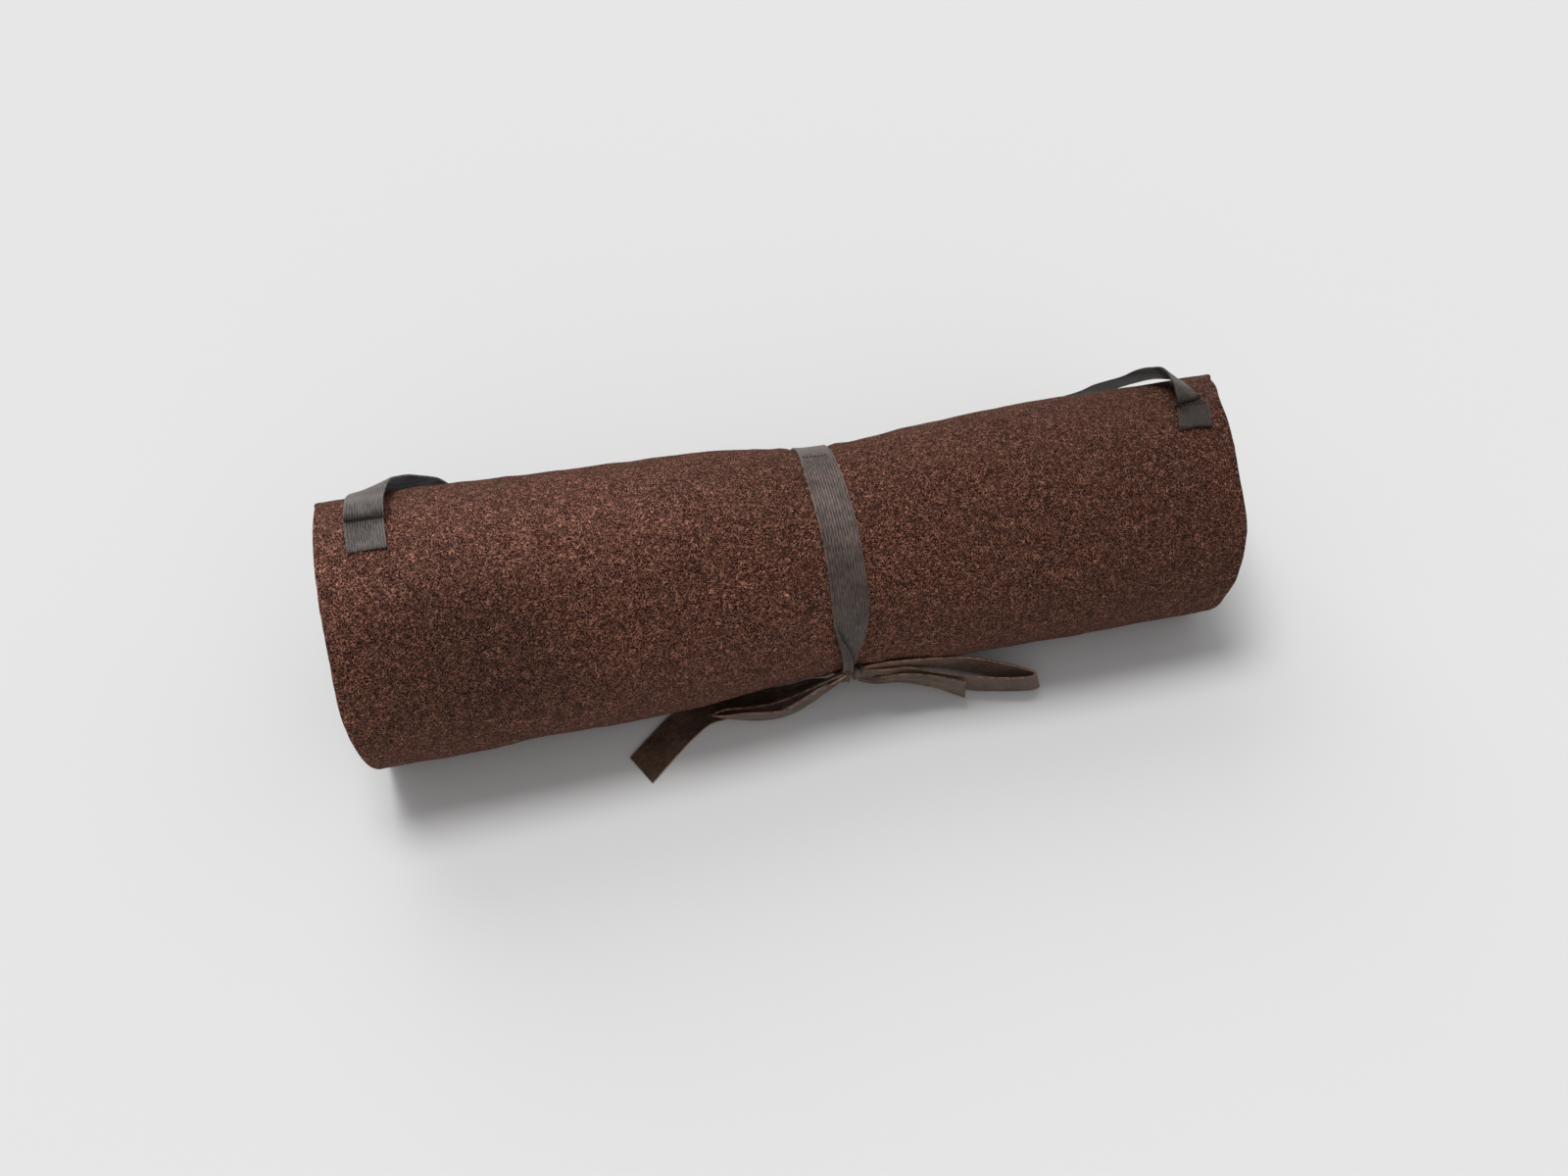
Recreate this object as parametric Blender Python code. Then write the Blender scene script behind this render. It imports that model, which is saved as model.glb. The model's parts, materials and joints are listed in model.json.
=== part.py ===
"""Brush roll case: a felt wrap rolled up, tied with a ribbon bow and fitted with a carry strap.

Lengths are in metres. +X runs along the roll, +Z is up and -Y is the side with the bow. The roll lies
on the plane z = 0. Angles round the roll are in degrees, counted from +Y towards +Z, and the felt winds
inward as the angle grows from its free outer edge.
"""
import math

import bmesh
import bpy
from mathutils import Matrix, Vector

MM = 0.001

# ---------------------------------------------------------------- driving dimensions
ROLL_LENGTH = 380 * MM        # felt width, which is the roll's length
ROLL_RADIUS = 54.8 * MM       # mean outer radius away from the waist
ROLL_TAPER = 2.9 * MM         # the left end is this much fatter than the mean, the right end thinner
WAIST_DEPTH = 5.9 * MM        # how far the ribbon pulls the felt in
WAIST_X = 14 * MM
WAIST_SPREAD = 37 * MM
FLAT_HALF_ANGLE = 15.0        # half the arc that the roll's weight flattens on the table
LIFT_HEIGHT = 2.9 * MM        # the waist is drawn up off the table by the ribbon
LIFT_REACH = 95 * MM

FELT_THICKNESS = 3.0 * MM
PANEL_THICKNESS = 1.5 * MM    # pocket panel and tip flap
LAYER_GAP = 0.35 * MM
BARE_PITCH = 3.6 * MM         # felt plus air, turn to turn
POCKET_PITCH = 6.0 * MM       # felt, panel, seam thread and air, turn to turn
EDGE_ANGLE = 42.0             # where the felt's free outer edge lies
WOUND_ANGLE = 900.0           # two and a half turns
ANGLE_STEP = 10.0

PANEL_START, PANEL_END = 300.0, 880.0
PANEL_LEFT, PANEL_RIGHT = -187 * MM, 40 * MM
FLAP_LEFT, FLAP_RIGHT = 90 * MM, 187 * MM
SEAM_START, SEAM_END, SEAM_SPACING = 310.0, 870.0, 50.0
SEAM_WIDTH = 1.0 * MM
SEAM_THICKNESS = 0.45 * MM

RIBBON_WIDTH = 16 * MM
RIBBON_THICKNESS = 1.0 * MM
RIBBON_GAP = 0.35 * MM
THREAD = 0.6 * MM
SPAN_SAMPLES = 3              # facets between two points of a ribbon's route

KNOT_ANGLE = 207.0
KNOT_HALF = Vector((2.9, 2.6, 4.8)) * MM      # along the roll, out from it, round it
KNOT_BEVEL = 1.6 * MM

TAB_THICKNESS = 1.8 * MM      # the strap's end is turned under and sewn down double
FOLD_LIFT = 0.15 * MM         # how far the strap's hinge line lies above the tabs
# The strap's sewn ends. x is the middle of the lower edge, and the fold's middle lies skew beyond it.
TABS = {"left": {"x": -176.5, "skew": 0.0, "fold": 78.5, "end": 95.5, "width": 16.0},
        "right": {"x": 172.8, "skew": 3.5, "fold": 82.0, "end": 97.0, "width": 14.5}}

# The frame's origin is the middle of the object's footprint, measured from the roll's own middle.
ORIGIN = Vector((-1.95, 20.3, 0.0)) * MM

# Stations along the roll, closer together at the waist.
STATIONS = [x * MM for x in
            (-190, -150, -112, -80, -55, -32, -12, 4, 14, 24, 40, 62, 90, 120, 155, 190)]


# ---------------------------------------------------------------- the roll's shape
def smoothstep(t):
    t = min(max(t, 0.0), 1.0)
    return t * t * (3.0 - 2.0 * t)


def roll_radius(x):
    """Outer radius at x: a slight taper and a waist under the ribbon."""
    waist = WAIST_DEPTH / (1.0 + ((x - WAIST_X) / WAIST_SPREAD) ** 2)
    return ROLL_RADIUS - ROLL_TAPER * x / (ROLL_LENGTH / 2) - waist


def centre_height(x):
    """Height of the roll's centre, so that its flattened underside rests on z = 0 away from the waist."""
    lift = LIFT_HEIGHT * max(0.0, 1.0 - (x / LIFT_REACH) ** 2) ** 5
    return roll_radius(x) * math.cos(math.radians(FLAT_HALF_ANGLE)) + lift


def wind_depth(phi):
    """How far the felt's outer face has moved inward, phi degrees from its free edge."""
    first = BARE_PITCH * smoothstep((phi - 250.0) / 110.0)
    second = BARE_PITCH * smoothstep((phi - 610.0) / 110.0)
    pocket = (POCKET_PITCH - BARE_PITCH) * smoothstep((phi - 600.0) / 50.0)
    return first + second + pocket


def end_drift(side, theta):
    """The rolled ends are not square: how far an end strays along x at this angle."""
    theta = (theta + 90.0) % 360.0 - 90.0
    swing = math.radians(theta - 130.0)
    if side > 0:
        drift = -2.2 - 1.4 * math.cos(swing) - 4.1 * math.sin(swing)
        drift += 2.6 * (1.0 - smoothstep((theta - 62.0) / 22.0))
        drift += 2.1 * math.exp(-((theta - 157.0) / 20.0) ** 2) - 1.9 * smoothstep((theta - 180.0) / 20.0)
        return (drift - 0.7 * smoothstep((-20.0 - theta) / 70.0)) * MM
    drift = -2.5 - 5.0 * math.cos(swing) + 1.1 * math.sin(swing)
    drift -= 1.0 * (1.0 - smoothstep((theta - 190.0) / 20.0)) + 1.3 * math.exp(-((theta - 165.0) / 20.0) ** 2)
    return (drift + 1.0 * smoothstep((-20.0 - theta) / 70.0)) * MM


def roll_point(x, theta, depth, drift=True):
    """A point at depth under the roll's outer face; negative depth stands off it."""
    angle = math.radians(theta)
    radius = roll_radius(x) - depth
    down = -math.sin(angle)
    if down > 0.1:
        flat = roll_radius(x) * math.cos(math.radians(FLAT_HALF_ANGLE)) - depth
        radius = min(radius, flat / down)
    reach = abs(x) / (ROLL_LENGTH / 2)
    shift = end_drift(x, theta) * reach ** 4 if drift else 0.0
    return Vector((x + shift, radius * math.cos(angle), centre_height(x) + radius * math.sin(angle)))


# ---------------------------------------------------------------- mesh helpers
def angle_range(start, end, step=ANGLE_STEP):
    count = round(abs(end - start) / step)
    return [start + (end - start) * i / count for i in range(count + 1)]


def new_object(name, bm, material, parent):
    """Make an object whose origin is its parent's."""
    bmesh.ops.recalc_face_normals(bm, faces=bm.faces)
    mesh = bpy.data.meshes.new(name)
    bm.to_mesh(mesh)
    bm.free()
    mesh.shade_smooth()
    mesh.set_sharp_from_angle(angle=math.radians(40))
    mesh.materials.append(material)
    obj = bpy.data.objects.new(name, mesh)
    bpy.context.scene.collection.objects.link(obj)
    obj.parent = parent
    obj.data.transform(Matrix.Translation(-Vector(parent["pivot"])))
    return obj


def slab(name, outer, inner, material, parent):
    """A closed sheet between two grids of points, given as rows of equal length."""
    bm = bmesh.new()
    sides = [[[bm.verts.new(p) for p in row] for row in grid] for grid in (outer, inner)]
    rows, columns = len(outer), len(outer[0])
    for grid in sides:
        for i in range(rows - 1):
            for j in range(columns - 1):
                bm.faces.new((grid[i][j], grid[i + 1][j], grid[i + 1][j + 1], grid[i][j + 1]))
    rim = [(i, 0) for i in range(rows)]
    rim += [(rows - 1, j) for j in range(1, columns)]
    rim += [(i, columns - 1) for i in range(rows - 2, -1, -1)]
    rim += [(0, j) for j in range(columns - 2, 0, -1)]
    for (i, j), (k, m) in zip(rim, rim[1:] + rim[:1]):
        bm.faces.new((sides[0][i][j], sides[0][k][m], sides[1][k][m], sides[1][i][j]))
    return new_object(name, bm, material, parent)


def felt_sheet(name, phis, stations, depth, thickness, material, parent):
    """A sheet wound into the spiral, its outer face at depth under the felt's outer face."""
    def grid(extra):
        return [[roll_point(x, phi + EDGE_ANGLE, wind_depth(phi) + depth + extra) for x in stations]
                for phi in phis]
    return slab(name, grid(0.0), grid(thickness), material, parent)


def catmull_rom(points, samples):
    """A smooth curve through rows of numbers, with the given number of samples in each span."""
    rows = [points[0]] + list(points) + [points[-1]]
    curve = []
    for a, b, c, d in zip(rows, rows[1:], rows[2:], rows[3:]):
        for k in range(samples):
            t = k / samples
            curve.append([0.5 * (2 * q + (r - p) * t + (2 * p - 5 * q + 4 * r - s) * t * t
                                 + (3 * q - p - 3 * r + s) * t ** 3)
                          for p, q, r, s in zip(a, b, c, d)])
    curve.append(list(points[-1]))
    return curve


def strip(name, route, square, material, parent):
    """A ribbon along a route of rows: place, width direction and width.

    A square strip's width is turned square to its path. A loop keeps its width direction instead.
    """
    curve = catmull_rom(route, SPAN_SAMPLES)
    places = [Vector(row[:3]) for row in curve]
    outer, inner = [], []
    for i, row in enumerate(curve):
        tangent = (places[min(i + 1, len(places) - 1)] - places[max(i - 1, 0)]).normalized()
        across = Vector(row[3:6])
        if square:
            across -= tangent * across.dot(tangent)
        across.normalize()
        normal = tangent.cross(across).normalized()
        edges = [places[i] + across * row[6] * s for s in (-0.5, 0.5)]
        outer.append([p + normal * RIBBON_THICKNESS / 2 for p in edges])
        inner.append([p - normal * RIBBON_THICKNESS / 2 for p in edges])
    return slab(name, outer, inner, material, parent)


def leaning(x, y, z, lean, width):
    """A route row for a ribbon on edge, its top leaning towards -Y by an angle in degrees."""
    angle = math.radians(lean)
    return [x * MM, y * MM, z * MM, 0.0, -math.sin(angle), math.cos(angle), width * MM]


def facing(x, y, z, across):
    """A route row for a full-width ribbon with its width along the given direction."""
    return [x * MM, y * MM, z * MM, *across, RIBBON_WIDTH]


def make_material(name, color, roughness):
    material = bpy.data.materials.new(name)
    material.use_nodes = True
    shader = material.node_tree.nodes["Principled BSDF"]
    shader.inputs["Base Color"].default_value = (*color, 1.0)
    shader.inputs["Roughness"].default_value = roughness
    shader.inputs["Metallic"].default_value = 0.0
    material.diffuse_color = (*color, 1.0)
    return material


def make_pivot(name, place, parent=None):
    """An empty on a joint's axis; its place is kept so that pieces can be set out from it."""
    pivot = bpy.data.objects.new(name, None)
    pivot.empty_display_size = 10 * MM
    pivot["pivot"] = place
    pivot.location = place - (Vector(parent["pivot"]) if parent else ORIGIN)
    if parent:
        pivot.parent = parent
    bpy.context.scene.collection.objects.link(pivot)
    return pivot


# ---------------------------------------------------------------- felt
def make_outer_cover(material, parent):
    phis = angle_range(0.0, WOUND_ANGLE)
    return felt_sheet("outer_cover", phis, STATIONS, 0.0, FELT_THICKNESS, material, parent)


def panel_stations(left, right):
    between = [x for x in STATIONS if left + 8 * MM < x < right - 8 * MM]
    return [left] + between + [right]


def make_panels(material, parent):
    """The brush pockets and the flap over the brush tips, both on the felt's inner face."""
    phis = angle_range(PANEL_START, PANEL_END)
    depth = FELT_THICKNESS + LAYER_GAP
    for name, left, right in (("pocket_panel", PANEL_LEFT, PANEL_RIGHT), ("tip_flap", FLAP_LEFT, FLAP_RIGHT)):
        felt_sheet(name, phis, panel_stations(left, right), depth, PANEL_THICKNESS, material, parent)


def make_pocket_seams(material, parent):
    """Lines of thread that divide the panel into pockets, each along the roll."""
    inset = 3 * MM
    stations = panel_stations(PANEL_LEFT + inset, PANEL_RIGHT - inset)
    depth = FELT_THICKNESS + LAYER_GAP + PANEL_THICKNESS + LAYER_GAP
    count = int((SEAM_END - SEAM_START) / SEAM_SPACING) + 1
    for number in range(count):
        phi = SEAM_START + number * SEAM_SPACING
        radius = roll_radius(0.0) - wind_depth(phi) - depth
        half = math.degrees(SEAM_WIDTH / 2 / radius)
        felt_sheet(f"pocket_seam_{number + 1}", [phi - half, phi + half], stations, depth,
                   SEAM_THICKNESS, material, parent)


# ---------------------------------------------------------------- tie ribbon
def band_drop(theta):
    """The ribbon bridges the step at the felt's free edge."""
    if theta >= EDGE_ANGLE:
        return 0.0
    bridge = BARE_PITCH * smoothstep((EDGE_ANGLE - theta) / 26.0)
    return min(bridge, wind_depth(theta + 360.0 - EDGE_ANGLE))


def band_width(theta):
    """Full width round the roll, gathered to a cord's width at the knot."""
    above = smoothstep((200.0 - theta) / 45.0)
    below = smoothstep((theta + 360.0 - 214.0) / 30.0)
    return RIBBON_WIDTH * (0.34 + 0.66 * min(above, below))


def make_tie_band(material, parent):
    thetas = [200.5] + angle_range(EDGE_ANGLE + 150.0, EDGE_ANGLE - 180.0) + [-145.5]
    outer, inner = [], []
    for theta in thetas:
        half = band_width(theta) / 2
        stations = [WAIST_X + half * s for s in (-1.0, 0.0, 1.0)]
        under = band_drop(theta) - RIBBON_GAP
        inner.append([roll_point(x, theta, under, drift=False) for x in stations])
        outer.append([roll_point(x, theta, under - RIBBON_THICKNESS, drift=False) for x in stations])
    slab("tie_band", outer, inner, material, parent)


def thread_bar(name, centre_x, theta, half_width, stand_off, material, parent):
    """A row of stitches across a ribbon, as one flat bar of thread."""
    half = math.degrees(THREAD / 2 / roll_radius(centre_x))
    stations = [centre_x + half_width * s for s in (-1.0, 0.0, 1.0)]
    grids = [[[roll_point(x, t, -stand_off - rise, drift=False) for x in stations]
              for t in (theta - half, theta + half)] for rise in (THREAD, 0.0)]
    slab(name, grids[0], grids[1], material, parent)


def knot_centre():
    stand_off = RIBBON_GAP + KNOT_HALF.y
    return roll_point(WAIST_X, KNOT_ANGLE, -stand_off, drift=False)


def make_knot(material, parent):
    bm = bmesh.new()
    bmesh.ops.create_cube(bm, size=2.0)
    bmesh.ops.scale(bm, vec=KNOT_HALF, verts=bm.verts)
    bmesh.ops.bevel(bm, geom=bm.edges, offset=KNOT_BEVEL, segments=2, affect="EDGES", profile=0.5)
    turn = Matrix.Rotation(math.radians(KNOT_ANGLE - 180.0), 4, "X")
    bmesh.ops.transform(bm, matrix=Matrix.Translation(knot_centre()) @ turn, verts=bm.verts)
    new_object("bow_knot", bm, material, parent)


# Rows: x, y, z of the ribbon's middle in mm, how far its top leans towards -Y, and its gathered width.
LOOP_LEFT = [leaning(*row) for row in (
    (8.4, -46.6, 29.0, 27, 5.5), (0, -44.8, 21.6, 20, 6.5), (-9, -43.5, 14.0, 10, 8),
    (-20, -42.5, 7.9, 8, 10), (-32, -40.8, 7.1, 15, 9), (-42, -39.2, 7.7, 30, 12),
    (-47.5, -40.0, 8.1, 40, 13.5), (-43.5, -42.4, 8.4, 36, 15.5), (-34, -44.9, 9.0, 28, 16),
    (-25, -46.9, 9.0, 26, 16), (-16, -47.6, 9.6, 26, 15), (-7, -47.7, 14.8, 16, 12),
    (2, -48.6, 22.4, 16, 8), (8.4, -49.4, 28.4, 27, 5.5))]
TAIL_LEFT = [leaning(*row) for row in (
    (8.8, -44.4, 21.6, 28, 4.5), (2.5, -41.2, 17.2, 50, 5.5), (-4, -38.6, 12.8, 72, 7),
    (-11, -36.8, 9.0, 80, 8.5), (-18, -35.2, 5.2, 86, 10.5), (-25, -33.2, 2.2, 90, 13),
    (-33, -31.4, 0.95, 90, 15.5), (-42, -31.0, 0.85, 90, 16), (-51, -32.6, 0.85, 90, 16),
    (-61, -39.0, 0.85, 90, 16), (-70, -46.5, 0.85, 90, 16), (-81.7, -57.0, 0.85, 90, 16))]
LOOP_RIGHT = [leaning(*row) for row in (
    (19.6, -46.6, 29.2, 27, 5.5), (26, -46.9, 29.6, 25, 7), (33, -46.9, 28.9, 24, 8.5),
    (50, -45.6, 23.6, 20, 12), (67, -43.3, 14.6, 15, 15.5), (83, -47.0, 10.2, 12, 16),
    (93.5, -51.8, 9.3, 12, 16), (97.0, -54.6, 9.2, 12, 16), (92.5, -55.8, 9.2, 14, 16),
    (80, -53.4, 9.2, 16, 16), (66, -50.6, 10.6, 16, 16), (52, -48.9, 16.2, 18, 13.5),
    (38, -48.9, 24.6, 20, 10), (28, -49.3, 27.4, 25, 7.5), (19.6, -49.4, 28.0, 27, 5.5))]
TAIL_RIGHT = [leaning(*row) for row in (
    (19.3, -44.6, 21.4, 28, 4.5), (22.8, -47.7, 21.8, 27, 5), (27, -50.3, 24.2, 24, 5.8),
    (33, -51.4, 24.9, 20, 7), (40, -51.6, 22.8, 17, 8.5), (47.5, -51.9, 19.4, 16, 10),
    (54.5, -52.4, 15.8, 16, 12), (59.5, -53.2, 12.8, 15, 13.5), (63.3, -54.1, 10.8, 14, 14))]


def make_bow(material, left, right):
    strip("bow_loop_left", LOOP_LEFT, False, material, left)
    strip("bow_tail_left", TAIL_LEFT, True, material, left)
    strip("bow_loop_right", LOOP_RIGHT, False, material, right)
    strip("bow_tail_right", TAIL_RIGHT, True, material, right)


# ---------------------------------------------------------------- carry strap
DOWN_BACK = (0.0, -0.5, 0.87)      # width direction while the strap hangs behind the roll
FLAT = (0.0, -1.0, 0.0)            # and where it lies on the table
CARRY_STRAP = [facing(*row) for row in (
    (-176.0, 13.6, 114.0, (1.0, 0.0, -0.03)), (-175.4, 18.0, 114.5, (1.0, 0.0, 0.0)),
    (-174.4, 25.5, 112.4, (0.95, -0.1, 0.15)), (-172.5, 32.5, 108.2, (0.85, -0.2, 0.45)),
    (-168.4, 39.0, 103.4, (0.5, -0.27, 0.8)), (-159.5, 46.8, 94.8, (0.0, -0.28, 0.95)),
    (-151.8, 51.5, 86.6, (-0.05, -0.35, 0.93)), (-144.0, 57.0, 72.5, DOWN_BACK),
    (-124.0, 67.0, 47.0, DOWN_BACK), (-103.0, 78.0, 25.0, DOWN_BACK), (-77.0, 87.5, 7.5, (0.0, -0.85, 0.5)),
    (-48.0, 93.0, 1.7, FLAT), (-12.0, 95.5, 1.1, FLAT), (22.0, 93.5, 1.5, FLAT),
    (54.0, 87.5, 6.5, (0.0, -0.85, 0.5)), (79.0, 77.5, 24.0, DOWN_BACK), (98.0, 66.0, 43.0, DOWN_BACK),
    (117.0, 56.0, 60.5, (0.0, -0.45, 0.89)), (139.0, 50.2, 71.6, DOWN_BACK),
    (150.5, 48.0, 77.2, (0.0, -0.45, 0.87)), (162.4, 43.2, 85.0, (-0.15, -0.5, 0.84)),
    (168.9, 36.9, 92.9, (-0.3, -0.46, 0.83)), (172.9, 28.6, 100.1, (-0.45, -0.4, 0.78)),
    (174.6, 20.5, 104.5, (-0.6, -0.3, 0.7)), (175.6, 12.8, 105.4, (-1.0, 0.0, 0.08)),
    (176.2, 9.4, 104.0, (-1.0, 0.0, 0.03)))]


def make_strap(material, parent):
    strip("carry_strap", CARRY_STRAP, True, material, parent)


def tab_middle(side, theta):
    """x of a tab's middle at an angle between its fold and its lower edge."""
    tab = TABS[side]
    return (tab["x"] + tab["skew"] * (tab["end"] - theta) / (tab["end"] - tab["fold"])) * MM


def make_tabs(ribbon, thread, parent):
    """The strap's ends, turned under and sewn to the felt, each with a row of stitches at its fold."""
    for side, tab in TABS.items():
        half = tab["width"] / 2 * MM
        outer, inner = [], []
        for theta in angle_range(tab["fold"], tab["end"], 4.0):
            middle = tab_middle(side, theta)
            stations = [middle - half, middle + half]
            inner.append([roll_point(s, theta, -RIBBON_GAP, drift=False) for s in stations])
            outer.append([roll_point(s, theta, -RIBBON_GAP - TAB_THICKNESS, drift=False) for s in stations])
        slab(f"strap_tab_{side}", outer, inner, ribbon, parent)
        theta = tab["fold"] + 2.0
        thread_bar(f"tab_stitch_{side}", tab_middle(side, theta), theta, half - 1 * MM,
                   2 * RIBBON_GAP + TAB_THICKNESS, thread, parent)


# ---------------------------------------------------------------- assembly
def clear_scene():
    for obj in list(bpy.data.objects):
        bpy.data.objects.remove(obj, do_unlink=True)


def strap_folds():
    """The strap swings on the line through these two places, at the upper edges of its folds."""
    stand_off = RIBBON_GAP + TAB_THICKNESS + FOLD_LIFT
    return [roll_point(tab_middle(side, tab["fold"]), tab["fold"] - 0.5, -stand_off, drift=False)
            for side, tab in TABS.items()]


def main():
    clear_scene()
    felt = make_material("felt", (0.085, 0.037, 0.027), 0.95)
    panel = make_material("panel_felt", (0.11, 0.06, 0.048), 0.95)
    tie = make_material("tie_ribbon", (0.085, 0.068, 0.058), 0.7)
    webbing = make_material("strap_webbing", (0.15, 0.135, 0.12), 0.75)
    thread = make_material("thread", (0.03, 0.025, 0.022), 0.8)

    roll = make_pivot("roll_frame", Vector((0.0, 0.0, 0.0)))
    left_fold, right_fold = strap_folds()
    strap = make_pivot("strap_hinge", (left_fold + right_fold) / 2, roll)
    bow_left = make_pivot("bow_pivot_left", knot_centre(), roll)
    bow_right = make_pivot("bow_pivot_right", knot_centre(), roll)

    make_outer_cover(felt, roll)
    make_panels(panel, roll)
    make_pocket_seams(thread, roll)
    make_tie_band(tie, roll)
    thread_bar("band_anchor_stitch", 12.5 * MM, 66.6, 6 * MM, 2 * RIBBON_GAP + RIBBON_THICKNESS, thread, roll)
    make_knot(tie, roll)
    make_bow(tie, bow_left, bow_right)
    make_strap(webbing, strap)
    make_tabs(webbing, thread, roll)


main()
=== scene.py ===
"""The looks of the brush roll case: felt, ribbon, webbing and thread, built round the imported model."""
import json
import math

import bpy
import numpy as np
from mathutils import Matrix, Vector


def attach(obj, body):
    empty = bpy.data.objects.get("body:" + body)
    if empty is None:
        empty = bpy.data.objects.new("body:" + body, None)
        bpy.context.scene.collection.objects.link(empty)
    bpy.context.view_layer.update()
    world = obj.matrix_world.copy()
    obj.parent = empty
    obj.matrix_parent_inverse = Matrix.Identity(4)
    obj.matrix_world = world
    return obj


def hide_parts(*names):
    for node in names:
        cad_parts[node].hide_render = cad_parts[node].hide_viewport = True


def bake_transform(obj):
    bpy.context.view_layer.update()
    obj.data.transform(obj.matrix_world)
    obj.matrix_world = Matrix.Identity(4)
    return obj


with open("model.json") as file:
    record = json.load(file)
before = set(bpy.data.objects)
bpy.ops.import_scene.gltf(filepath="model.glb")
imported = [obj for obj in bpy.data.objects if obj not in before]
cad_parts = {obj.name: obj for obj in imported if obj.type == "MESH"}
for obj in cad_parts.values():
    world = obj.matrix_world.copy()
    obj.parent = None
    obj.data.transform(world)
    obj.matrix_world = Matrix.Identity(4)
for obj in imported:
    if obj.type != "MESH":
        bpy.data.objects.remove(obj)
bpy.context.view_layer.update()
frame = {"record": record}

MM = 0.001

# ---------------------------------------------------------------- driving dimensions, as in the CAD model
ROLL_LENGTH = 380.0
ROLL_RADIUS = 54.8
ROLL_TAPER = 2.9
WAIST_DEPTH = 5.9
WAIST_X = 14.0
WAIST_SPREAD = 37.0
FLAT_HALF_ANGLE = 15.0
LIFT_HEIGHT = 2.9
LIFT_REACH = 95.0
FELT_THICKNESS = 3.0
PANEL_THICKNESS = 1.5
LAYER_GAP = 0.35
BARE_PITCH = 3.6
POCKET_PITCH = 6.0
EDGE_ANGLE = 42.0
WOUND_ANGLE = 900.0
RIBBON_WIDTH = 16.0
RIBBON_THICKNESS = 1.0
RIBBON_GAP = 0.35
KNOT_ANGLE = 207.0
# The strap's sewn ends. x is the middle of the lower edge, and the fold's middle lies skew beyond it.
TABS = {"left": {"x": -176.5, "skew": 0.0, "fold": 78.5, "end": 95.5, "width": 16.0},
        "right": {"x": 172.8, "skew": 3.5, "fold": 82.0, "end": 97.0, "width": 14.5}}
PANEL_START, PANEL_END = 300.0, 880.0
PANEL_LEFT, PANEL_RIGHT = -187.0, 40.0
FLAP_LEFT, FLAP_RIGHT = 90.0, 187.0
SEAM_COUNT, SEAM_START, SEAM_SPACING = 12, 310.0, 50.0
THREAD_RADIUS = 0.3
ANCHOR_X, ANCHOR_ANGLE, ANCHOR_HALF_WIDTH = 12.3, 67.6, 5.6

# All lengths above and in the functions below are in millimetres, and all angles in degrees, from the
# roll's own middle. The rest face lies to the left of it, which places that middle in the frame.
REST_FACE = frame["record"]["mounts"][0]["pos_m"]
REST_FACE_X = -131.0
ROLL_MIDDLE = np.array([REST_FACE[0] - REST_FACE_X * MM, REST_FACE[1], 0.0])
FLOOR_CLEARANCE = 0.03


def to_frame(points):
    """Millimetres from the roll's middle to metres in the frame."""
    return np.asarray(points, float) * MM + ROLL_MIDDLE


# ---------------------------------------------------------------- the roll's shape
def smoothstep(t):
    t = np.clip(t, 0.0, 1.0)
    return t * t * (3.0 - 2.0 * t)


def roll_radius(x):
    waist = WAIST_DEPTH / (1.0 + ((x - WAIST_X) / WAIST_SPREAD) ** 2)
    return ROLL_RADIUS - ROLL_TAPER * x / (ROLL_LENGTH / 2) - waist


def centre_height(x):
    lift = LIFT_HEIGHT * np.maximum(0.0, 1.0 - (x / LIFT_REACH) ** 2) ** 5
    return roll_radius(x) * math.cos(math.radians(FLAT_HALF_ANGLE)) + lift


def wind_depth(phi):
    """How far the felt's outer face has moved inward, phi degrees from its free edge."""
    first = BARE_PITCH * smoothstep((phi - 250.0) / 110.0)
    second = BARE_PITCH * smoothstep((phi - 610.0) / 110.0)
    pocket = (POCKET_PITCH - BARE_PITCH) * smoothstep((phi - 600.0) / 50.0)
    return first + second + pocket


def end_drift(x, theta):
    """The rolled ends are not square: how far an end strays along x at this angle."""
    theta = (theta + 90.0) % 360.0 - 90.0
    swing = np.radians(theta - 130.0)
    right = -2.2 - 1.4 * np.cos(swing) - 4.1 * np.sin(swing) + 2.6 * (1.0 - smoothstep((theta - 62.0) / 22.0))
    right = right + 2.1 * np.exp(-((theta - 157.0) / 20.0) ** 2) - 1.9 * smoothstep((theta - 180.0) / 20.0)
    right = right - 0.7 * smoothstep((-20.0 - theta) / 70.0)
    left = -2.5 - 5.0 * np.cos(swing) + 1.1 * np.sin(swing) - 1.0 * (1.0 - smoothstep((theta - 190.0) / 20.0))
    left = left - 1.3 * np.exp(-((theta - 165.0) / 20.0) ** 2) + 1.0 * smoothstep((-20.0 - theta) / 70.0)
    return np.where(x > 0, right, left) * (np.abs(x) / (ROLL_LENGTH / 2)) ** 4


def roll_points(x, theta, depth):
    """Points at depth under the roll's outer face; negative depth stands off it."""
    x, theta, depth = np.broadcast_arrays(np.asarray(x, float), theta, depth)
    angle = np.radians(theta)
    down = -np.sin(angle)
    flat = roll_radius(x) * math.cos(math.radians(FLAT_HALF_ANGLE)) - depth
    radius = roll_radius(x) - depth
    radius = np.where(down > 0.1, np.minimum(radius, flat / np.maximum(down, 0.1)), radius)
    return np.stack([x, radius * np.cos(angle), centre_height(x) + radius * np.sin(angle)], axis=-1)


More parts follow.
